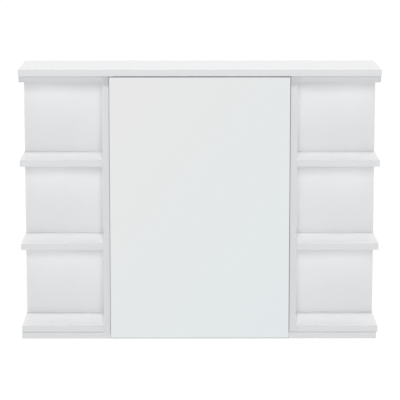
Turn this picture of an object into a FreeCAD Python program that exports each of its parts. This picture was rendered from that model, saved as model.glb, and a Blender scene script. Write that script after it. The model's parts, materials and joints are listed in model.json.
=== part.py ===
import FreeCAD, Part
import os

# Hanging wall cabinet: a mirror door in the middle with an open rack of shelves on each side, under one long
# crown board. Millimetres. +X is right, +Y is towards the wall and +Z is up. Heights below are measured from
# the cabinet's underside; save() then moves every piece so that the origin is the centre of the four wall
# screw holes, on the wall plane.

Vector = FreeCAD.Vector
UP = Vector(0, 0, 1)
BACKWARD = Vector(0, 1, 0)
FORWARD = Vector(0, -1, 0)

# Whole cabinet
WIDTH = 800.0
HEIGHT = 610.0
DEPTH = 205.0
BOARD = 15.0
EDGE_ROUND = 0.7
JOINT_LINE = 0.5
JOINT_LINE_DEPTH = 3.0
CROWN_OVERHANG = 18.0

# Side racks
RACK_WIDTH = 184.0
RACK_DEPTH = 140.0
BASE_END_SETBACK = 3.0

# Middle box
BACK_PANEL = 3.0
REBATE = 8.0
UPPER_RAIL_HEIGHT = 80.0
LOWER_RAIL_HEIGHT = 60.0
WALL_HOLE_RADIUS = 2.75
WALL_HOLE_SPACING = 330.0
INNER_SHELF = 12.0
INNER_SHELF_UNDERSIDES = (186.0, 376.0)
INNER_SHELF_END_GAP = 1.5
SHELF_PIN_RADIUS = 2.5
SHELF_PIN_PITCH = 32.0

# Door
GLASS = 3.0
TAPE = 1.0
DOOR_BOARD = 12.0
DOOR_HINGE_GAP = 1.0
DOOR_FREE_GAP = 1.5
DOOR_TOP_GAP = 2.0
DOOR_BOTTOM = 4.5
GLASS_INSET = 0.3
GLASS_ARRIS = 0.8

# Door pivots
PIVOT_FROM_EDGE = 5.0
PIVOT_FROM_FRONT = 7.5
PIVOT_RADIUS = 2.0
PIVOT_CLEARANCE = 0.05
PIVOT_DEPTH = 10.0
BORE_DEPTH = 12.0
BRACKET_STEEL = 1.5
BRACKET_TIP = 3.0
BRACKET_REACH = 19.0
BRACKET_LIFT = 0.2
BRACKET_NOTCH = 2.3
WASHER = 0.5
FITTING_BLOCK = 18.0
FITTING_LENGTH = 50.0
FITTING_HEIGHT = 16.0
FITTING_PLATE = 1.6

# Fasteners: shank radius, length, head radius, head depth, drive width
CONFIRMAT = (3.2, 48.0, 4.8, 3.0, 4.0)
WOOD_SCREW = (1.75, 24.0, 3.8, 2.2, 2.2)
SMALL_SCREW = (1.4, 9.0, 2.8, 1.5, 1.6)
DOWEL_RADIUS = 4.0
DOWEL_LENGTH = 30.0
CAM_RADIUS = 7.5
CAM_DEPTH = 12.0
CAM_DROP = 34.0
CAP_RADIUS = 6.5
CAP_THICKNESS = 1.0
NAIL_RADIUS = 0.8
NAIL_LENGTH = 16.0

# Places worked out from the above
HALF = WIDTH / 2
FRONT = -DEPTH
BOX_FRONT = FRONT + CROWN_OVERHANG
UPRIGHT_OUT = HALF - RACK_WIDTH
UPRIGHT_IN = UPRIGHT_OUT - BOARD
CROWN_UNDER = HEIGHT - BOARD
RACK_BACK_FRONT = BOX_FRONT + RACK_DEPTH
RACK_BACK_REAR = RACK_BACK_FRONT + BOARD
BAY_HEIGHT = (CROWN_UNDER - BOARD - 2 * BOARD - 2 * BOARD) / 3
SHELF_UNDERSIDES = tuple(BOARD + i * (BAY_HEIGHT + BOARD) for i in range(4))
RAIL_FRONT = -BACK_PANEL - BOARD
UPPER_HOLE_Z = CROWN_UNDER - UPPER_RAIL_HEIGHT / 2
LOWER_HOLE_Z = BOARD + LOWER_RAIL_HEIGHT / 2
ORIGIN_Z = (UPPER_HOLE_Z + LOWER_HOLE_Z) / 2
DOOR_LEFT = -UPRIGHT_IN + DOOR_HINGE_GAP
DOOR_RIGHT = UPRIGHT_IN - DOOR_FREE_GAP
DOOR_TOP = CROWN_UNDER - DOOR_TOP_GAP
DOOR_BOARD_FRONT = FRONT + GLASS + TAPE
DOOR_BACK = DOOR_BOARD_FRONT + DOOR_BOARD
PIVOT_X = DOOR_LEFT + PIVOT_FROM_EDGE
PIVOT_Y = FRONT + PIVOT_FROM_FRONT
RACK_SCREW_DEPTHS = (BOX_FRONT + 27, RACK_BACK_FRONT - 28)
CAM_DEPTHS = (BOX_FRONT + 37, -60.0)
DOWEL_DEPTHS = (BOX_FRONT + 15, -30.0)
PIN_DEPTHS = (BOX_FRONT + 37, -50.0)


def block(x, y, z):
    """A box between two values along each axis."""
    size = [b - a for a, b in (x, y, z)]
    return Part.makeBox(size[0], size[1], size[2], Vector(x[0], y[0], z[0]))


def board(x, y, z, soft=("front",)):
    """A board with the edges around its named visible faces eased."""
    solid = block(x, y, z)
    faces = {
        "front": lambda p: abs(p.y - y[0]) < 0.01,
        "left": lambda p: abs(p.x - x[0]) < 0.01,
        "right": lambda p: abs(p.x - x[1]) < 0.01,
        "top": lambda p: abs(p.z - z[1]) < 0.01,
    }
    edges = [e for e in solid.Edges if any(faces[name](e.CenterOfMass) for name in soft)]
    return solid.makeFillet(EDGE_ROUND, edges)


def rod(radius, length, start, direction):
    return Part.makeCylinder(radius, length, start, direction)


def hex_socket(width, depth, start, direction):
    """A six-sided hole for a driver, sunk from the start point along the direction."""
    corners = [Vector(width / 2, 0, 0)]
    turn = FreeCAD.Rotation(UP, 60)
    for _ in range(6):
        corners.append(turn.multVec(corners[-1]))
    socket = Part.Face(Part.makePolygon(corners)).extrude(Vector(0, 0, depth))
    socket.Placement = FreeCAD.Placement(start, FreeCAD.Rotation(UP, direction))
    return socket


def screw_body(kind, start, direction):
    """A flush screw without its socket: this is also the hole it sits in."""
    radius, length, head_radius, head_depth, _ = kind
    head = Part.makeCone(head_radius, radius, head_depth, start, direction)
    tip = start + direction * (length - radius)
    shank = rod(radius, length - radius, start, direction)
    point = Part.makeCone(radius, 0, radius, tip, direction)
    return head.fuse([shank, point]).removeSplitter()


def screw(kind, start, direction):
    return screw_body(kind, start, direction).cut(hex_socket(kind[4], kind[3], start, direction))


def drilled(solid, tools):
    """The solid with every tool that reaches it taken away."""
    near = [t for t in tools if solid.BoundBox.intersect(t.BoundBox)]
    return solid.cut(near) if near else solid


def save(name, *solids):
    """Writes one node, moved so that the origin is the centre of the wall screw holes."""
    pieces = []
    for solid in solids:
        moved = solid.copy()
        moved.translate(Vector(0, 0, -ORIGIN_Z))
        pieces.append(moved)
    shape = pieces[0] if len(pieces) == 1 else Part.makeCompound(pieces)
    shape.exportStep(f"parts/{name}.step")


def sides():
    """Each side's name and sign."""
    return (("left", -1), ("right", 1))


def across(side, inner, outer):
    """The X span between two distances from the middle, on one side."""
    return tuple(sorted((side * inner, side * outer)))


# ---- the boards ----


def make_crown():
    span = (-HALF, HALF)
    return board(span, (FRONT, 0), (CROWN_UNDER, HEIGHT), soft=("front", "left", "right", "top"))


def make_upright(side):
    """The left upright runs down past the base board; the right one stands on it."""
    foot = 0 if side < 0 else BOARD
    upright = board(across(side, UPRIGHT_IN, UPRIGHT_OUT), (BOX_FRONT, 0), (foot, CROWN_UNDER))
    rebate = block(across(side, UPRIGHT_IN, UPRIGHT_IN + REBATE), (-BACK_PANEL, 0), (0, CROWN_UNDER))
    return upright.cut(rebate)


def joint_line(side, outer, top):
    """The fine shadow line round the top of a board that another one lies on: its front part and its end part."""
    z = (top - JOINT_LINE, top)
    front = block(across(side, UPRIGHT_IN, outer), (BOX_FRONT, BOX_FRONT + JOINT_LINE_DEPTH), z)
    end = block(across(side, outer - JOINT_LINE_DEPTH, outer), (BOX_FRONT, RACK_BACK_FRONT), z)
    return [front, end]


def make_rack_board(side, underside):
    outer = "left" if side < 0 else "right"
    span = across(side, UPRIGHT_OUT, HALF)
    top = underside + BOARD
    rack_board = board(span, (BOX_FRONT, RACK_BACK_FRONT), (underside, top), soft=("front", outer))
    return rack_board.cut(joint_line(side, HALF, top)) if top == CROWN_UNDER else rack_board


def make_rack_back(side):
    span = across(side, UPRIGHT_OUT, HALF)
    return block(span, (RACK_BACK_FRONT, RACK_BACK_REAR), (BOARD, CROWN_UNDER))


def make_left_base():
    base = board((-HALF, -UPRIGHT_OUT), (BOX_FRONT, -BACK_PANEL), (0, BOARD), soft=("front", "left"))
    return base.cut(joint_line(-1, HALF, BOARD))


def make_main_base():
    """Floor of the middle box, running on under the right upright and the right rack."""
    base = board((-UPRIGHT_IN, HALF - BASE_END_SETBACK), (BOX_FRONT, -BACK_PANEL), (0, BOARD),
                 soft=("front", "right"))
    return base.cut([make_bracket_leaf()] + joint_line(1, HALF - BASE_END_SETBACK, BOARD))


def make_rail(underside, height):
    return block((-UPRIGHT_IN, UPRIGHT_IN), (RAIL_FRONT, -BACK_PANEL), (underside, underside + height))


def make_back_panel():
    reach = UPRIGHT_IN + REBATE - 0.5
    return block((-reach, reach), (-BACK_PANEL, 0), (0.5, CROWN_UNDER - 0.5))


def make_inner_shelf(underside):
    reach = UPRIGHT_IN - INNER_SHELF_END_GAP
    return board((-reach, reach), (BOX_FRONT + 7, RAIL_FRONT + 12), (underside, underside + INNER_SHELF))


def wall_holes():
    length = BOARD + BACK_PANEL + 2
    start_y = RAIL_FRONT - 1
    return [rod(WALL_HOLE_RADIUS, length, Vector(x, start_y, z), BACKWARD)
            for x in (-WALL_HOLE_SPACING / 2, WALL_HOLE_SPACING / 2)
            for z in (LOWER_HOLE_Z, UPPER_HOLE_Z)]


# ---- what holds the boards together: each list gives a kind, a start point and a direction ----


def shelf_confirmats():
    """Through each upright from inside the middle box, into the ends of its rack's boards."""
    places = []
    for _, side in sides():
        for underside in SHELF_UNDERSIDES[:3]:
            for y in RACK_SCREW_DEPTHS:
                start = Vector(side * UPRIGHT_IN, y, underside + BOARD / 2)
                places.append((CONFIRMAT, start, Vector(side, 0, 0)))
    return places


def rail_confirmats():
    """Through each upright from outside, behind the rack's back, into the ends of both rails."""
    rail_y = RAIL_FRONT + BOARD / 2
    heights = (UPPER_HOLE_Z - 22, UPPER_HOLE_Z + 22, LOWER_HOLE_Z - 14, LOWER_HOLE_Z + 14)
    return [(CONFIRMAT, Vector(side * UPRIGHT_OUT, rail_y, z), Vector(-side, 0, 0))
            for _, side in sides() for z in heights]


def base_confirmats():
    """Left upright into the base board's end, and base board up into the right upright."""
    depths = (BOX_FRONT + 52, -50.0)
    left = [(CONFIRMAT, Vector(-UPRIGHT_OUT, y, BOARD / 2), Vector(1, 0, 0)) for y in depths]
    right = [(CONFIRMAT, Vector(UPRIGHT_IN + BOARD / 2, y, 0), UP) for y in depths]
    return left + right


def doubled_board_screws(start_z):
    """Four screws a side that pull a rack's board against the board that lies on it."""
    near = UPRIGHT_OUT + 45
    return [(WOOD_SCREW, Vector(side * x, y, start_z), UP)
            for _, side in sides() for x in (near, HALF - 30) for y in RACK_SCREW_DEPTHS]


def rack_back_screws():
    """From behind, through each rack's back into the rear edges of its boards."""
    long_screw = (WOOD_SCREW[0], 40.0) + WOOD_SCREW[2:]
    near = UPRIGHT_OUT + 40
    return [(long_screw, Vector(side * x, RACK_BACK_REAR, underside + BOARD / 2), FORWARD)
            for _, side in sides() for x in (near, HALF - 40) for underside in SHELF_UNDERSIDES]


def bodies(places):
    return [screw_body(*place) for place in places]


def screws(places):
    return [screw(*place) for place in places]


def confirmat_caps():
    """Flat caps over the screw heads that show inside the middle box."""
    return [rod(CAP_RADIUS, CAP_THICKNESS, start, direction * -1) for _, start, direction in shelf_confirmats()]


def dowels():
    """Fluted pegs between the crown and the boards that stand under it."""
    low = CROWN_UNDER - 0.6 * DOWEL_LENGTH
    places = [(side * (UPRIGHT_IN + BOARD / 2), y) for _, side in sides() for y in DOWEL_DEPTHS]
    rack_y = RACK_BACK_FRONT + BOARD / 2
    places += [(side * x, rack_y) for _, side in sides() for x in (UPRIGHT_OUT + 25, HALF - 25)]
    return [rod(DOWEL_RADIUS, DOWEL_LENGTH, Vector(x, y, low), UP) for x, y in places]


def cam_places():
    return [(side, y) for _, side in sides() for y in CAM_DEPTHS]


def cam_bolt(side, y):
    """Screws into the crown and hangs down inside the upright, to the cam."""
    x = side * (UPRIGHT_IN + BOARD / 2)
    centre = CROWN_UNDER - CAM_DROP
    stem = rod(2.0, CAM_DROP + 10, Vector(x, y, centre), UP)
    thread = rod(2.5, 10, Vector(x, y, CROWN_UNDER), UP)
    head = rod(3.2, 2.5, Vector(x, y, centre - 1), UP)
    return stem.fuse([thread, head]).removeSplitter()


def cam_bolt_hole(side, y):
    x = side * (UPRIGHT_IN + BOARD / 2)
    return rod(3.4, CAM_DROP + 2, Vector(x, y, CROWN_UNDER - CAM_DROP - 2), UP)


def cam_body(side, y):
    start = Vector(side * UPRIGHT_IN, y, CROWN_UNDER - CAM_DROP)
    return rod(CAM_RADIUS, CAM_DEPTH, start, Vector(side, 0, 0))


def cam(side, y):
    """A disc with a cross for the driver, open inside for the bolt's head."""
    z = CROWN_UNDER - CAM_DROP
    face = across(side, UPRIGHT_IN - 1, UPRIGHT_IN + 2)
    cross = [block(face, (y - 4, y + 4), (z - 0.7, z + 0.7)), block(face, (y - 0.7, y + 0.7), (z - 4, z + 4))]
    return cam_body(side, y).cut(cross + [cam_bolt_hole(side, y)])


def nails():
    """Pins around the thin back panel, into the uprights, the rails and the base board."""
    rise = (UPPER_HOLE_Z - LOWER_HOLE_Z) / 5
    sides_x = UPRIGHT_IN + REBATE / 2
    places = [(side * sides_x, LOWER_HOLE_Z + i * rise) for _, side in sides() for i in range(6)]
    places += [(x, z) for x in (-110.0, 0.0, 110.0) for z in (BOARD / 2, CROWN_UNDER - 12)]
    return [rod(NAIL_RADIUS, NAIL_LENGTH, Vector(x, 0, z), FORWARD) for x, z in places]


# ---- shelf pins ----


def pin_heights():
    return [underside - SHELF_PIN_RADIUS for underside in INNER_SHELF_UNDERSIDES]


def shelf_pin(side, y, z):
    """A peg with a collar; the shelf rests on the part that stands out of the upright."""
    outward = Vector(side, 0, 0)
    peg = rod(SHELF_PIN_RADIUS, 16, Vector(side * (UPRIGHT_IN - 8), y, z), outward)
    collar = rod(SHELF_PIN_RADIUS + 1.5, 1.2, Vector(side * (UPRIGHT_IN - 1.2), y, z), outward)
    return peg.fuse(collar).removeSplitter()


def shelf_pins():
    return [shelf_pin(side, y, z) for _, side in sides() for y in PIN_DEPTHS for z in pin_heights()]


def shelf_pin_holes():
    """Rows of three holes at each shelf pin, so that a shelf can be set higher or lower."""
    return [rod(SHELF_PIN_RADIUS, 9, Vector(side * UPRIGHT_IN, y, z + step * SHELF_PIN_PITCH), Vector(side, 0, 0))
            for _, side in sides() for y in PIN_DEPTHS for z in pin_heights() for step in (-1, 0, 1)]


# ---- the door ----


def door_span():
    return (DOOR_LEFT, DOOR_RIGHT)


def fitting_heights(at_top):
    """The lower fitting stands clear of the bracket's tongue."""
    low = DOOR_TOP - FITTING_HEIGHT if at_top else DOOR_BOTTOM + BRACKET_NOTCH
    return (low, low + FITTING_HEIGHT)


def make_fitting_blank(at_top):
    """The space a corner fitting fills: a block round the pivot with a plate let into the door's back."""
    z = fitting_heights(at_top)
    heel = block((DOOR_LEFT, DOOR_LEFT + FITTING_BLOCK), (DOOR_BOARD_FRONT, DOOR_BACK), z)
    plate = block((DOOR_LEFT, DOOR_LEFT + FITTING_LENGTH), (DOOR_BACK - FITTING_PLATE, DOOR_BACK), z)
    return heel.fuse(plate).removeSplitter()


def fitting_screws(at_top):
    middle = sum(fitting_heights(at_top)) / 2
    return [(SMALL_SCREW, Vector(DOOR_LEFT + x, DOOR_BACK, middle), FORWARD) for x in (27, 42)]


def make_fitting(at_top):
    low, high = fitting_heights(at_top)
    start = Vector(PIVOT_X, PIVOT_Y, high - BORE_DEPTH if at_top else low)
    bore = rod(PIVOT_RADIUS + PIVOT_CLEARANCE, BORE_DEPTH, start, UP)
    return make_fitting_blank(at_top).cut([bore] + bodies(fitting_screws(at_top)))


def make_door_board():
    """Notched for both corner fittings, and below the lower one for the bracket's tongue."""
    depth = (DOOR_BOARD_FRONT, DOOR_BACK)
    blank = board(door_span(), depth, (DOOR_BOTTOM, DOOR_TOP), soft=("right",))
    notch = block((DOOR_LEFT, PIVOT_X + BRACKET_REACH + 2.5), depth, (DOOR_BOTTOM, DOOR_BOTTOM + BRACKET_NOTCH))
    return blank.cut([make_fitting_blank(True), make_fitting_blank(False), notch])


def make_mirror():
    x = (DOOR_LEFT + GLASS_INSET, DOOR_RIGHT - GLASS_INSET)
    z = (DOOR_BOTTOM + GLASS_INSET, DOOR_TOP - GLASS_INSET)
    pane = block(x, (FRONT, FRONT + GLASS), z)
    front_edges = [e for e in pane.Edges if abs(e.CenterOfMass.y - FRONT) < 0.01]
    return pane.makeChamfer(GLASS_ARRIS, front_edges)


def mirror_tapes():
    """Upright strips of double-sided tape between the glass and the door board."""
    strips = 5
    width = 19.0
    first = DOOR_LEFT + 20
    step = (DOOR_RIGHT - DOOR_LEFT - 40 - width) / (strips - 1)
    z = (DOOR_BOTTOM + 25, DOOR_TOP - 25)
    return [block((first + i * step, first + i * step + width), (FRONT + GLASS, DOOR_BOARD_FRONT), z)
            for i in range(strips)]


# ---- pivots ----


def make_upper_pivot():
    """A pin in a flanged sleeve that is pressed up into the crown."""
    pin = rod(PIVOT_RADIUS, PIVOT_DEPTH + DOOR_TOP_GAP + 8, Vector(PIVOT_X, PIVOT_Y, DOOR_TOP - 8), UP)
    return pin.fuse(make_upper_sleeve()).removeSplitter()


def make_upper_sleeve():
    sleeve = rod(3.5, PIVOT_DEPTH, Vector(PIVOT_X, PIVOT_Y, CROWN_UNDER), UP)
    flange = rod(5.5, 1.0, Vector(PIVOT_X, PIVOT_Y, CROWN_UNDER - 1), UP)
    return sleeve.fuse(flange).removeSplitter()


def bracket_span():
    return (PIVOT_X - BRACKET_TIP, PIVOT_X + BRACKET_REACH)


def bracket_foot():
    return DOOR_BOTTOM + BRACKET_LIFT


def make_bracket_leaf():
    """The part of the bracket that is let into the base board's front edge."""
    return block(bracket_span(), (BOX_FRONT, BOX_FRONT + BRACKET_STEEL), (bracket_foot(), BOARD - 1))


def bracket_screws():
    kind = (1.6, 16.0, 2.9, 1.4, 1.8)
    return [(kind, Vector(PIVOT_X + x, BOX_FRONT, BOARD - 5), BACKWARD) for x in (2, 14)]


def make_lower_bracket():
    """An angle whose tongue reaches forward under the door's corner and carries the lower pin."""
    foot = bracket_foot()
    heights = (foot, foot + BRACKET_STEEL)
    tongue = block(bracket_span(), (PIVOT_Y, BOX_FRONT + BRACKET_STEEL), heights)
    tip = rod(BRACKET_TIP, BRACKET_STEEL, Vector(PIVOT_X, PIVOT_Y, foot), UP)
    pin = rod(PIVOT_RADIUS, BRACKET_NOTCH + 8, Vector(PIVOT_X, PIVOT_Y, foot), UP)
    bracket = tongue.fuse([tip, pin, make_bracket_leaf()]).removeSplitter()
    return bracket.cut(bodies(bracket_screws()))


def make_pivot_washer():
    """Carries the door on the bracket's tongue."""
    start = Vector(PIVOT_X, PIVOT_Y, bracket_foot() + BRACKET_STEEL)
    ring = rod(3.4, WASHER, start, UP)
    return ring.cut(rod(PIVOT_RADIUS, WASHER, start, UP))


# ---- magnetic catch and bumpers ----

CATCH_X = 150.0
CATCH_FRONT = BOX_FRONT + 0.5
CATCH_SCREW_X = (CATCH_X - 18, CATCH_X + 18)
CATCH_Z = (CROWN_UNDER - 12, CROWN_UNDER)
POLE_REACH = BOX_FRONT - 0.6


def catch_core():
    """The magnet's slot in the catch housing."""
    return block((CATCH_X - 12, CATCH_X + 12), (CATCH_FRONT - 2, CATCH_FRONT + 11), (CATCH_Z[0] + 2, CATCH_Z[0] + 8))


def catch_screws():
    kind = (1.4, 16.0, 2.8, 1.5, 1.6)
    return [(kind, Vector(x, CATCH_FRONT + 7, CATCH_Z[0]), UP) for x in CATCH_SCREW_X]


def make_catch_housing():
    body = block((CATCH_X - 24, CATCH_X + 24), (CATCH_FRONT, CATCH_FRONT + 14), CATCH_Z)
    corners = [e for e in body.Edges if abs(e.CenterOfMass.z - sum(CATCH_Z) / 2) < 0.01]
    return body.makeFillet(2.5, corners).cut([catch_core()] + bodies(catch_screws()))


def make_catch_magnet():
    z = (CATCH_Z[0] + 3, CATCH_Z[0] + 7)
    return block((CATCH_X - 12, CATCH_X + 12), (CATCH_FRONT + 1, CATCH_FRONT + 11), z)


def catch_poles():
    """Two steel plates that carry the magnet's pull to the strike plate."""
    x = (CATCH_X - 12, CATCH_X + 12)
    y = (POLE_REACH, CATCH_FRONT + 11)
    return [block(x, y, (low, low + 1)) for low in (CATCH_Z[0] + 2, CATCH_Z[0] + 7)]


def strike_screw():
    middle = (DOOR_TOP + CATCH_Z[0]) / 2 - 0.5
    return (SMALL_SCREW, Vector(CATCH_X, DOOR_BACK + 1.1, middle), FORWARD)


def make_strike_plate():
    plate = block((CATCH_X - 16, CATCH_X + 16), (DOOR_BACK, DOOR_BACK + 1.1), (DOOR_TOP - 10.5, DOOR_TOP - 0.8))
    return plate.cut(screw_body(*strike_screw()))


def door_bumpers():
    """Soft dots on the base board's front edge, where the door closes."""
    z = (DOOR_BOTTOM + BOARD) / 2
    return [rod(4.0, 1.6, Vector(x, BOX_FRONT, z), FORWARD) for x in (-40.0, 182.0)]


# ---- write every node ----


def main():
    os.makedirs("parts", exist_ok=True)

    carcass_holes = bodies(shelf_confirmats() + rail_confirmats() + base_confirmats() + rack_back_screws())
    carcass_holes += bodies(doubled_board_screws(0) + doubled_board_screws(CROWN_UNDER - BOARD))
    carcass_holes += bodies(bracket_screws() + catch_screws())
    carcass_holes += dowels() + nails() + wall_holes() + shelf_pin_holes() + [make_upper_sleeve()]
    for place in cam_places():
        carcass_holes += [cam_body(*place), cam_bolt_hole(*place)]
    crown_threads = [cam_bolt(*place) for place in cam_places()]
    crown_holes = carcass_holes + crown_threads

    carcass = {
        "base_board": make_main_base(),
        "left_base_board": make_left_base(),
        "hanging_rail": make_rail(CROWN_UNDER - UPPER_RAIL_HEIGHT, UPPER_RAIL_HEIGHT),
        "lower_rail": make_rail(BOARD, LOWER_RAIL_HEIGHT),
        "centre_back_panel": make_back_panel(),
    }
    levels = ("bottom_shelf", "lower_shelf", "upper_shelf", "top_board")
    for name, side in sides():
        carcass[f"{name}_upright"] = make_upright(side)
        carcass[f"{name}_rack_back"] = make_rack_back(side)
        for level, underside in zip(levels, SHELF_UNDERSIDES):
            carcass[f"{name}_{level}"] = make_rack_board(side, underside)
    for name, solid in carcass.items():
        save(name, drilled(solid, carcass_holes))
    save("crown_board", drilled(make_crown(), crown_holes))

    for name, underside in zip(("lower_inner_shelf", "upper_inner_shelf"), INNER_SHELF_UNDERSIDES):
        save(name, make_inner_shelf(underside))
    save("shelf_pins", *shelf_pins())

    save("shelf_confirmats", *screws(shelf_confirmats()))
    save("confirmat_caps", *confirmat_caps())
    save("rail_confirmats", *screws(rail_confirmats()))
    save("base_confirmats", *screws(base_confirmats()))
    save("base_board_screws", *screws(doubled_board_screws(0)))
    save("top_board_screws", *screws(doubled_board_screws(CROWN_UNDER - BOARD)))
    save("rack_back_screws", *screws(rack_back_screws()))
    save("dowels", *dowels())
    save("cam_bolts", *[cam_bolt(*place) for place in cam_places()])
    save("cams", *[cam(*place) for place in cam_places()])
    save("back_panel_nails", *nails())

    door_holes = bodies(fitting_screws(True) + fitting_screws(False) + [strike_screw()])
    save("door_board", drilled(make_door_board(), door_holes))
    save("mirror", make_mirror())
    save("mirror_tapes", *mirror_tapes())
    save("upper_door_fitting", make_fitting(True))
    save("lower_door_fitting", make_fitting(False))
    save("door_fitting_screws", *screws(fitting_screws(True) + fitting_screws(False)))
    save("strike_plate", make_strike_plate())
    save("strike_screw", screw(*strike_screw()))

    save("upper_pivot_pin", make_upper_pivot())
    save("lower_pivot_bracket", make_lower_bracket())
    save("pivot_washer", make_pivot_washer())
    save("bracket_screws", *screws(bracket_screws()))
    save("catch_housing", make_catch_housing())
    save("catch_magnet", make_catch_magnet())
    save("catch_pole_plates", *catch_poles())
    save("catch_screws", *screws(catch_screws()))
    save("door_bumpers", *door_bumpers())


main()
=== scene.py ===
import json
import math

import bmesh
import bpy
from mathutils import Matrix, Vector


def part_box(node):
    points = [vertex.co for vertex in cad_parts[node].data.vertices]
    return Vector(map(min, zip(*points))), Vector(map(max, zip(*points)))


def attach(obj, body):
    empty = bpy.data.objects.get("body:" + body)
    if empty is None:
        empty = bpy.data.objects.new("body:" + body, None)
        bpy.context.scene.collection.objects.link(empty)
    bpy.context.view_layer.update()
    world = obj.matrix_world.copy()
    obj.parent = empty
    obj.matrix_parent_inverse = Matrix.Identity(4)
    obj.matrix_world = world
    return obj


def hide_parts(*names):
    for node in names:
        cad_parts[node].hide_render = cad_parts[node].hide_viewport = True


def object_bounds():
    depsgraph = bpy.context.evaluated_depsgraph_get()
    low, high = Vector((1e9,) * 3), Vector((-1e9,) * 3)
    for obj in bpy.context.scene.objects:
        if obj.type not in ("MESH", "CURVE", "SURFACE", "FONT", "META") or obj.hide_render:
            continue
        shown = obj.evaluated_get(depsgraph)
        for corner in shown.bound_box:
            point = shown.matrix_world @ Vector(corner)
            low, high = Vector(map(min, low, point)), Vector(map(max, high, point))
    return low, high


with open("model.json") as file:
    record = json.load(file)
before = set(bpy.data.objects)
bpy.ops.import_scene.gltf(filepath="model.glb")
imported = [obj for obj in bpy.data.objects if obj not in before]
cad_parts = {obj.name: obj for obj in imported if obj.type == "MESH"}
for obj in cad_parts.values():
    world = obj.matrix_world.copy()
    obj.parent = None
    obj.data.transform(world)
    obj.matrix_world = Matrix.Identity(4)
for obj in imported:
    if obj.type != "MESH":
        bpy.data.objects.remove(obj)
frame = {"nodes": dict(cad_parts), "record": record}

# Looks of a white hanging cabinet: melamine boards with edge bands, a mirror door and its small hardware.
# Metres, in the cabinet's own frame: +X right, +Y into the wall, +Z up.

cad_low, cad_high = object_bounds()
NODES = frame["nodes"]
RECORD_SLOTS = {part["node"]: part["material_slot"] for part in frame["record"]["subparts"]}
MM = 0.001

# Boards: laminate on both faces, a band on each edge that shows, chipboard within
BAND = 1.0 * MM
SKIN = 0.25 * MM
GLUE_LINE = 0.07 * MM
LAMINATE = (0.878, 0.882, 0.889)
BAND_COLOUR = (0.652, 0.658, 0.669)
GLUE_COLOUR = (0.42, 0.42, 0.42)
CHIP_LIGHT = (0.56, 0.42, 0.27)
CHIP_DARK = (0.27, 0.18, 0.10)
FIBRE_LIGHT = (0.40, 0.265, 0.15)
FIBRE_DARK = (0.24, 0.145, 0.075)

# Mirror: silver inside a ground rim that is wider at the foot, where it is coloured darker as painted shade
RIM = 1.0 * MM
FOOT = 1.6 * MM
GLASS_FACE = 0.1 * MM
SILVER = (0.875, 0.883, 0.880)
RIM_COLOUR = (0.70, 0.75, 0.735)
# Painted shade: the darker colour of the rim along the glass's lower edge
FOOT_PAINTED_SHADE = (0.47, 0.50, 0.49)
BACKING_PAINT = (0.20, 0.22, 0.22)
GROUND_ROUGHNESS = 0.32
SILVER_ROUGHNESS = 0.015

# Small hardware
NICKEL = (0.66, 0.65, 0.63)
ZINC = (0.60, 0.62, 0.65)
CAST_ALLOY = (0.52, 0.53, 0.54)
WHITE_PLASTIC = (0.80, 0.80, 0.79)
FOAM = (0.66, 0.67, 0.67)
FERRITE = (0.035, 0.035, 0.037)
CLEAR_RUBBER = (0.72, 0.73, 0.73)
RUBBER_IOR = 1.41
BEECH_LIGHT = (0.66, 0.48, 0.30)
BEECH_DARK = (0.42, 0.27, 0.15)
SHARP_ANGLE = math.radians(35)

# Studio: how bright it is in each direction as the boards see it, and what the glass and gloss show
AHEAD = (0.12, 0.12, 0.12)
BESIDE = (0.90, 0.90, 0.90)
BELOW = (0.88, 0.88, 0.88)
ABOVE = (0.06, 0.06, 0.06)
BEHIND = (0.96, 0.96, 0.96)
BACKDROP = (1.02, 1.02, 1.02)
PATCH_HEIGHT = -0.165
PATCH_TILT = 0.8
PATCH_WARM = (0.935, 0.915, 0.915)
PATCH_COOL = (0.868, 0.918, 0.932)
SHINE_LOW = (0.62, 0.635, 0.645)
SHINE_HIGH = (0.88, 0.885, 0.885)
FLOOR_DROP = 3.3
FLOOR_RADIUS = 6.0
FLOOR_COLOUR = (0.93, 0.93, 0.93)
LIGHTS_AIM = Vector((0, -0.1, 0))
LIGHTS_DISTANCE = 9.0

# Camera
CAMERA_PLACE = Vector((-0.014, -4.6, 0.760))
CAMERA_PITCH = math.radians(9.56)
CAMERA_YAW = math.radians(0.186)
CAMERA_LENS = 180.7


# ---- node trees ----


class Value:
    """A node's output, used in expressions: each operator adds a Math node."""

    def __init__(self, sheet, socket):
        self.sheet = sheet
        self.socket = socket

    def maths(self, operation, *terms):
        return self.sheet.node("ShaderNodeMath", {"operation": operation}, dict(enumerate(terms)))

    def __add__(self, other):
        return self.maths("ADD", self, other)

    def __radd__(self, other):
        return self.maths("ADD", other, self)

    def __sub__(self, other):
        return self.maths("SUBTRACT", self, other)

    def __rsub__(self, other):
        return self.maths("SUBTRACT", other, self)

    def __mul__(self, other):
        return self.maths("MULTIPLY", self, other)

    def __rmul__(self, other):
        return self.maths("MULTIPLY", other, self)

    def __gt__(self, limit):
        return self.maths("GREATER_THAN", self, limit)

    def __lt__(self, limit):
        return self.maths("LESS_THAN", self, limit)

    def __abs__(self):
        return self.maths("ABSOLUTE", self)

    def least(self, other):
        return self.maths("MINIMUM", self, other)

    def root(self):
        return self.maths("SQRT", self)


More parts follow.
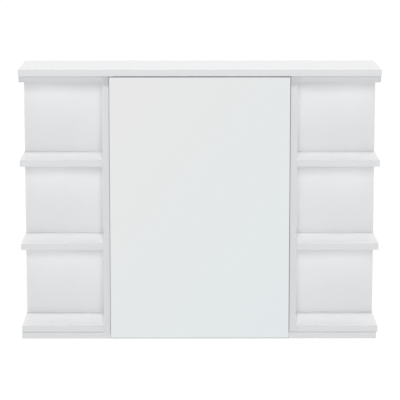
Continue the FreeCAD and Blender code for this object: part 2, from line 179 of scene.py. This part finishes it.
class Sheet:
    """A node tree whose nodes all come from one method."""

    def __init__(self, tree):
        self.tree = tree
        self.tree.nodes.clear()

    def node(self, kind, settings, sockets, output=0):
        made = self.tree.nodes.new(kind)
        for name, setting in settings.items():
            if name == "stops":
                self.set_stops(made.color_ramp, setting)
            else:
                setattr(made, name, setting)
        for name, value in sockets.items():
            if isinstance(value, Value):
                self.tree.links.new(value.socket, made.inputs[name])
            else:
                made.inputs[name].default_value = value
        return Value(self, made.outputs[output]) if made.outputs else None

    @staticmethod
    def set_stops(ramp, stops):
        while len(ramp.elements) < len(stops):
            ramp.elements.new(0.5)
        for element, (place, colour) in zip(ramp.elements, stops):
            element.position = place
            element.color = (*colour, 1)

    def place(self):
        """The point on the object, as a vector."""
        return self.node("ShaderNodeTexCoord", {}, {}, "Object")

    def axes(self, vector):
        """The vector's three numbers."""
        split = self.node("ShaderNodeSeparateXYZ", {}, {0: vector}).socket.node
        return [Value(self, output) for output in split.outputs]

    def noise(self, vector, scale, detail=2.0, roughness=0.5):
        sockets = {"Vector": vector, "Scale": scale, "Detail": detail, "Roughness": roughness}
        return self.node("ShaderNodeTexNoise", {}, sockets, "Fac")

    def blend(self, factor, first, second):
        """The first colour where the factor is 0 and the second where it is 1."""
        colours = [colour if isinstance(colour, Value) else (*colour, 1) for colour in (first, second)]
        sockets = {0: factor, 6: colours[0], 7: colours[1]}
        return self.node("ShaderNodeMix", {"data_type": "RGBA"}, sockets, 2)

    def ramp(self, factor, stops):
        return self.node("ShaderNodeValToRGB", {"stops": stops}, {0: factor})

    def smooth_step(self, value, start, end, before=0.0, after=1.0):
        """One number up to the start, another from the end on, and a soft change between them."""
        sockets = {0: value, 1: start, 2: end, 3: before, 4: after}
        return self.node("ShaderNodeMapRange", {"interpolation_type": "SMOOTHSTEP"}, sockets)

    def stretched(self, vector, scale):
        return self.node("ShaderNodeMapping", {}, {"Vector": vector, "Scale": scale})

    def bump(self, height, distance):
        return self.node("ShaderNodeBump", {}, {"Height": height, "Distance": distance})


class Finish(Sheet):
    """A material with one shader; constants go on its sockets and varying values are linked to them."""

    def __init__(self, name, **sockets):
        self.material = bpy.data.materials.new(name)
        self.material.use_nodes = True
        super().__init__(self.material.node_tree)
        self.sockets = sockets

    def vary(self, **sockets):
        self.sockets.update(sockets)

    def done(self):
        values = {name.replace("_", " "): value for name, value in self.sockets.items()}
        for name, value in values.items():
            if isinstance(value, tuple):
                values[name] = (*value, 1)
        shader = self.node("ShaderNodeBsdfPrincipled", {}, values)
        self.node("ShaderNodeOutputMaterial", {}, {"Surface": shader})
        return self.material


def shaded(colour, part):
    """The colour at a part of its brightness."""
    return tuple(part * channel for channel in colour)


def from_edges(axes, low, high, edges):
    """How far a point is from the nearest of the named edges, such as "-x" for the left one."""
    distances = []
    for side, letter in edges:
        axis = "xyz".index(letter)
        distances.append(axes[axis] - low[axis] if side == "-" else high[axis] - axes[axis])
    nearest = distances[0]
    for distance in distances[1:]:
        nearest = nearest.least(distance)
    return nearest


# ---- finishes ----


def melamine(node, banded):
    """White laminate on both faces, edge bands on the named edges and bare chipboard everywhere else."""
    low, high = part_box(node)
    size = high - low
    thin = min(range(3), key=lambda axis: size[axis])
    board = Finish(f"melamine_{node}", Specular_IOR_Level=0.42)
    place = board.place()
    axes = board.axes(place)
    inside = (axes[thin] > low[thin] + SKIN) * (axes[thin] < high[thin] - SKIN)
    depth = from_edges(axes, low, high, banded)
    band = inside * (depth < BAND)
    core = inside * (depth > BAND)
    glue = (1 - inside) * (abs(depth - BAND) < GLUE_LINE)

    cloud = board.noise(place, scale=9.0, detail=3.0)
    flakes = board.noise(place, scale=420.0, detail=4.0, roughness=0.7)
    pearl = board.noise(place, scale=1700.0, detail=1.0)
    chips = board.ramp(flakes, [(0.32, CHIP_DARK), (0.62, CHIP_LIGHT)])
    colour = board.blend(cloud, shaded(LAMINATE, 0.985), LAMINATE)
    colour = board.blend(band, colour, BAND_COLOUR)
    colour = board.blend(glue * 0.35, colour, GLUE_COLOUR)
    colour = board.blend(core, colour, chips)
    board.vary(Base_Color=colour)
    board.vary(Roughness=0.40 + 0.06 * cloud - 0.06 * band + 0.40 * core)
    board.vary(Normal=board.bump(pearl + flakes * core * 4.0, distance=0.012 * MM))
    return board.done()


def hardboard():
    """A thin back: white on the side that faces into the box, bare brown fibreboard behind."""
    low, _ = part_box("centre_back_panel")
    sheet = Finish("hardboard", Specular_IOR_Level=0.35)
    place = sheet.place()
    rear = sheet.axes(place)[1] > low[1] + SKIN
    fibres = sheet.noise(sheet.stretched(place, (1, 1, 2.5)), scale=260.0, detail=5.0, roughness=0.7)
    patches = sheet.noise(place, scale=14.0, detail=3.0)
    brown = sheet.blend(fibres * 0.7 + patches * 0.3, FIBRE_DARK, FIBRE_LIGHT)
    sheet.vary(Base_Color=sheet.blend(rear, LAMINATE, brown))
    sheet.vary(Roughness=0.45 + 0.3 * rear)
    sheet.vary(Normal=sheet.bump(fibres * rear, distance=0.03 * MM))
    return sheet.done()


def mirror_glass():
    """Silvered float glass: a ground rim, wider at the foot and darkened there with painted shade, bare
    edges and grey paint behind.
    """
    low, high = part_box("mirror")
    glass = Finish("mirror_glass", Specular_IOR_Level=0.5)
    place = glass.place()
    axes = glass.axes(place)
    y, z = axes[1:]
    front = y < low[1] + GLASS_FACE
    back = y > high[1] - GLASS_FACE
    above_foot = z > low[2] + FOOT
    silver = front * above_foot * (from_edges(axes, low, high, ("-x", "+x", "-z", "+z")) > RIM)
    haze = glass.noise(place, scale=22.0, detail=4.0, roughness=0.6)
    # Along the foot the rim takes a darker colour, painted shade at the glass's lower edge
    colour = glass.blend(above_foot, FOOT_PAINTED_SHADE, RIM_COLOUR)
    colour = glass.blend(silver, colour, SILVER)
    colour = glass.blend(back, colour, BACKING_PAINT)
    glass.vary(Base_Color=colour, Metallic=silver)
    ground = GROUND_ROUGHNESS + 0.3 * back + 0.008 * haze
    glass.vary(Roughness=ground - (GROUND_ROUGHNESS - SILVER_ROUGHNESS) * silver)
    return glass.done()


def metal(name, colour, roughness, grain, scale, bump=0.004 * MM):
    """Plated or cast metal: the grain, from 0 to 1, varies its tone and gloss."""
    piece = Finish(name, Specular_IOR_Level=0.5, Metallic=1.0)
    place = piece.place()
    speckle = piece.noise(place, scale, detail=3.0, roughness=0.6)
    tone = piece.noise(place, scale=90.0)
    piece.vary(Base_Color=piece.blend(tone, shaded(colour, 1 - grain), colour))
    piece.vary(Roughness=roughness + grain * speckle)
    piece.vary(Normal=piece.bump(speckle, bump))
    return piece.done()


def moulded(name, colour, roughness, **sockets):
    """Plastic, foam or rubber with a faint moulded texture."""
    piece = Finish(name, **sockets)
    place = piece.place()
    texture = piece.noise(place, scale=2600.0, detail=1.0)
    cloud = piece.noise(place, scale=60.0)
    piece.vary(Base_Color=piece.blend(cloud, shaded(colour, 0.97), colour))
    piece.vary(Roughness=roughness + 0.08 * cloud)
    piece.vary(Normal=piece.bump(texture, distance=0.006 * MM))
    return piece.done()


def beech():
    """Dowel wood, with its grain drawn out along Z."""
    wood = Finish("beech", Specular_IOR_Level=0.3)
    place = wood.stretched(wood.place(), (1, 1, 0.12))
    grain = wood.noise(place, scale=700.0, detail=4.0, roughness=0.6)
    wood.vary(Base_Color=wood.blend(grain, BEECH_DARK, BEECH_LIGHT))
    wood.vary(Roughness=0.55 + 0.15 * grain)
    wood.vary(Normal=wood.bump(grain, distance=0.02 * MM))
    return wood.done()


def dress(node, material):
    """Gives a carried-over node its one material."""
    slots = NODES[node].material_slots
    if not slots:
        NODES[node].data.materials.append(material)
    for slot in slots:
        slot.material = material


BANDS = {
    "crown_board": ("-y", "-x", "+x"),
    "left_upright": ("-y", "-z"),
    "right_upright": ("-y",),
    "left_base_board": ("-y", "-x"),
    "base_board": ("-y", "+x"),
    "left_rack_back": ("-x",),
    "right_rack_back": ("+x",),
    "lower_inner_shelf": ("-y", "-x", "+x"),
    "upper_inner_shelf": ("-y", "-x", "+x"),
    "hanging_rail": ("-z",),
    "lower_rail": ("+z",),
    "door_board": ("-x", "+x", "-z", "+z"),
}
for board_name in ("bottom_shelf", "lower_shelf", "upper_shelf", "top_board"):
    BANDS[f"left_{board_name}"] = ("-y", "-x")
    BANDS[f"right_{board_name}"] = ("-y", "+x")


def dress_frame():
    """Every carried-over node, by what it is made of."""
    for node, banded in BANDS.items():
        dress(node, melamine(node, banded))
    cast = metal("die_cast", CAST_ALLOY, roughness=0.38, grain=0.12, scale=1200.0, bump=0.02 * MM)
    by_slot = {
        "hardboard_white": hardboard(),
        "mirror_glass": mirror_glass(),
        "foam_tape": moulded("foam_tape", FOAM, roughness=0.8),
        "die_cast_fitting": cast,
        "plated_steel": metal("nickel", NICKEL, roughness=0.20, grain=0.05, scale=900.0),
        "zinc_screws": metal("zinc_plate", ZINC, roughness=0.27, grain=0.10, scale=1500.0),
        "white_plastic": moulded("white_plastic", WHITE_PLASTIC, roughness=0.38),
        "magnet": moulded("ferrite", FERRITE, roughness=0.55),
        "clear_rubber": moulded("clear_rubber", CLEAR_RUBBER, roughness=0.25, IOR=RUBBER_IOR),
        "beech": beech(),
    }
    for node, slot in RECORD_SLOTS.items():
        if slot in by_slot:
            dress(node, by_slot[slot])
    return by_slot


# ---- new pieces ----


def turned(outline, segments=40):
    """A mesh turned round Z from an outline of (radius, height) points."""
    mesh = bmesh.new()
    points = [mesh.verts.new((radius, 0, height)) for radius, height in outline]
    for start, end in zip(points, points[1:]):
        mesh.edges.new((start, end))
    bmesh.ops.spin(mesh, geom=mesh.verts[:] + mesh.edges[:], cent=(0, 0, 0), axis=(0, 0, 1), dvec=(0, 0, 0),
                   angle=2 * math.pi, steps=segments, use_merge=True)
    bmesh.ops.remove_doubles(mesh, verts=mesh.verts, dist=0.001 * MM)
    bmesh.ops.recalc_face_normals(mesh, faces=mesh.faces)
    return mesh


def set_out(single, places):
    """Copies of one mesh, each moved to its place with its Z axis along its direction."""
    whole = bmesh.new()
    shape = bpy.data.meshes.new("pattern")
    single.to_mesh(shape)
    single.free()
    for point, direction in places:
        count = len(whole.verts)
        whole.from_mesh(shape)
        whole.verts.ensure_lookup_table()
        turn = Vector(direction).to_track_quat("Z", "Y").to_matrix().to_4x4()
        bmesh.ops.transform(whole, matrix=Matrix.Translation(point) @ turn, verts=whole.verts[count:])
    bpy.data.meshes.remove(shape)
    return whole


def add_piece(name, mesh, material, body, node):
    """Puts a finished piece in the scene, on its body, in place of its plain node."""
    data = bpy.data.meshes.new(name)
    mesh.to_mesh(data)
    mesh.free()
    data.shade_smooth()
    data.set_sharp_from_angle(angle=SHARP_ANGLE)
    data.materials.append(material)
    piece = bpy.data.objects.new(name, data)
    bpy.context.scene.collection.objects.link(piece)
    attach(piece, body)
    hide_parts(node)


def arc(centre, across, up, start, end, steps):
    """Points of an outline along an arc, with angles in degrees from the radius axis."""
    angles = [math.radians(start + (end - start) * step / steps) for step in range(steps + 1)]
    return [(centre[0] + across * math.cos(angle), centre[1] + up * math.sin(angle)) for angle in angles]


def facing_walls(low, high):
    """The box's left and right walls, each with the direction into the box."""
    return ((low[0], (1, 0, 0)), (high[0], (-1, 0, 0)))


def screw_caps(material):
    """Domed caps with a fine rim over the screw heads inside the box."""
    low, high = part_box("confirmat_caps")
    radius = 6.5 * MM
    rise = 1.0 * MM
    rim = 0.35 * MM
    dome = [(radius - 0.9 * MM, 0.55 * rise), (radius - 1.6 * MM, 0.72 * rise), (radius / 2, 0.94 * rise)]
    outline = [(0, 0), (radius, 0), *arc((radius - rim, rim), rim, rim, 0, 90, 4), *dome, (0, rise)]
    columns = (low[1] + radius, high[1] - radius)
    rows = (low[2] + radius, (low[2] + high[2]) / 2, high[2] - radius)
    places = [((x, y, z), inwards) for x, inwards in facing_walls(low, high) for y in columns for z in rows]
    add_piece("screw_caps", set_out(turned(outline), places), material, "root", "confirmat_caps")


def soft_bumpers(material):
    """Clear domed dots that the door closes against."""
    low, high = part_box("door_bumpers")
    radius = (high[2] - low[2]) / 2
    rise = high[1] - low[1]
    flat = 0.35 * rise
    dome = arc((0, flat), radius, rise - flat, 0, 90, 10)
    outline = [(0, 0), (radius, 0), *dome[:-1], (0, rise)]
    middle = (low[2] + high[2]) / 2
    places = [((x, high[1], middle), (0, -1, 0)) for x in (low[0] + radius, high[0] - radius)]
    add_piece("soft_bumpers", set_out(turned(outline), places), material, "root", "door_bumpers")


def support_pins(material):
    """Shelf pins with a collar, a groove and a rounded nose."""
    low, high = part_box("shelf_pins")
    radius = 2.5 * MM
    collar = 4.0 * MM
    length = 16.0 * MM
    lead = 0.5 * MM
    stop = 8.0 * MM
    thickness = 1.2 * MM
    edge = 0.2 * MM
    groove = 0.3 * MM
    groove_width = 0.4 * MM
    nose = 0.8 * MM
    shelf_side = stop + thickness
    outline = [(0, 0), (radius - lead, 0), (radius, lead), (radius, stop)]
    outline += [(collar - edge, stop), (collar, stop + edge), (collar, shelf_side - edge)]
    outline += [(collar - edge, shelf_side), (radius - groove, shelf_side)]
    outline += [(radius - groove, shelf_side + groove_width), (radius, shelf_side + groove_width + groove)]
    outline += [*arc((radius - nose, length - nose), nose, nose, 0, 90, 5), (0, length)]
    columns = (low[1] + collar, high[1] - collar)
    rows = (low[2] + collar, high[2] - collar)
    places = [((x, y, z), inwards) for x, inwards in facing_walls(low, high) for y in columns for z in rows]
    add_piece("support_pins", set_out(turned(outline, segments=28), places), material, "root", "shelf_pins")


# ---- setting ----


def floor():
    """A pale floor far below the cabinet, fading out towards its rim."""
    mesh = bmesh.new()
    bmesh.ops.create_circle(mesh, cap_ends=True, segments=96, radius=FLOOR_RADIUS,
                            matrix=Matrix.Translation((0, 0, cad_low[2] - FLOOR_DROP)))
    data = bpy.data.meshes.new("floor")
    mesh.to_mesh(data)
    mesh.free()
    piece = bpy.data.objects.new("floor", data)
    bpy.context.scene.collection.objects.link(piece)
    paint = Finish("floor_paint", Base_Color=FLOOR_COLOUR, Roughness=0.7)
    x, y, _ = paint.axes(paint.place())
    out = (x * x + y * y).root()
    paint.vary(Alpha=paint.smooth_step(out, 0.35 * FLOOR_RADIUS, 0.98 * FLOOR_RADIUS, before=1.0, after=0.0))
    data.materials.append(paint.done())


def soft_box(name, elevation, side, power):
    """A square soft box before the cabinet and aimed at it, out of sight of the camera and of the mirror."""
    light = bpy.data.lights.new(name, "AREA")
    light.shape = "SQUARE"
    light.size = side
    light.energy = power
    lamp = bpy.data.objects.new(name, light)
    outwards = Vector((0, -math.cos(elevation), math.sin(elevation)))
    lamp.location = LIGHTS_AIM + LIGHTS_DISTANCE * outwards
    lamp.rotation_mode = "QUATERNION"
    lamp.rotation_quaternion = outwards.to_track_quat("Z", "Y")
    lamp.visible_camera = False
    lamp.visible_glossy = False
    bpy.context.scene.collection.objects.link(lamp)


def studio():
    """A white backdrop, bright sides and floor, and a bright patch in front that the mirror door faces."""
    world = bpy.data.worlds.new("studio")
    world.use_nodes = True
    bpy.context.scene.world = world
    sheet = Sheet(world.node_tree)
    x, y, z = sheet.axes(sheet.node("ShaderNodeTexCoord", {}, {}, "Generated"))
    in_view = sheet.node("ShaderNodeLightPath", {}, {}, "Is Camera Ray")
    in_gloss = sheet.node("ShaderNodeLightPath", {}, {}, "Is Glossy Ray")

    # What lights the boards comes more from the sides and from below than from straight ahead and above
    level = sheet.blend(sheet.smooth_step(abs(x), 0.35, 0.65), AHEAD, BESIDE)
    level = sheet.blend(sheet.smooth_step(z, -0.40, -0.20), BELOW, level)
    level = sheet.blend(sheet.smooth_step(z, 0.20, 0.40), level, ABOVE)
    level = sheet.blend(sheet.smooth_step(y, -0.10, 0.10), level, BEHIND)

    # What shines in the glass is a patch before the door, warm at its upper left and cool at its lower right
    up = z - PATCH_HEIGHT
    across_patch = sheet.smooth_step(x - up * PATCH_TILT, -0.144, 0.136)
    patch = sheet.blend(across_patch, PATCH_WARM, PATCH_COOL)
    reflected = sheet.blend(sheet.smooth_step(z, -0.50, -0.12), SHINE_LOW, SHINE_HIGH)
    from_patch = (x * x + up * up).root()
    shine = sheet.blend(sheet.smooth_step(from_patch, 0.16, 0.45), patch, reflected)
    shine = sheet.blend(sheet.smooth_step(y, -0.15, 0.05), shine, BEHIND)

    colour = sheet.blend(in_gloss, level, shine)
    colour = sheet.blend(in_view, colour, BACKDROP)
    surface = sheet.node("ShaderNodeBackground", {}, {"Color": colour})
    sheet.node("ShaderNodeOutputWorld", {}, {"Surface": surface})
    soft_box("top_box", elevation=math.radians(54), side=1.0, power=366.0)
    soft_box("front_box", elevation=math.radians(12), side=2.0, power=285.0)


def camera():
    data = bpy.data.cameras.new("camera")
    data.lens = CAMERA_LENS
    eye = bpy.data.objects.new("camera", data)
    eye.location = CAMERA_PLACE
    eye.rotation_euler = (math.pi / 2 - CAMERA_PITCH, 0, -CAMERA_YAW)
    bpy.context.scene.collection.objects.link(eye)
    bpy.context.scene.camera = eye
    bpy.context.scene.view_settings.view_transform = "Standard"


finishes = dress_frame()
screw_caps(finishes["white_plastic"])
soft_bumpers(finishes["clear_rubber"])
support_pins(finishes["plated_steel"])
floor()
studio()
camera()
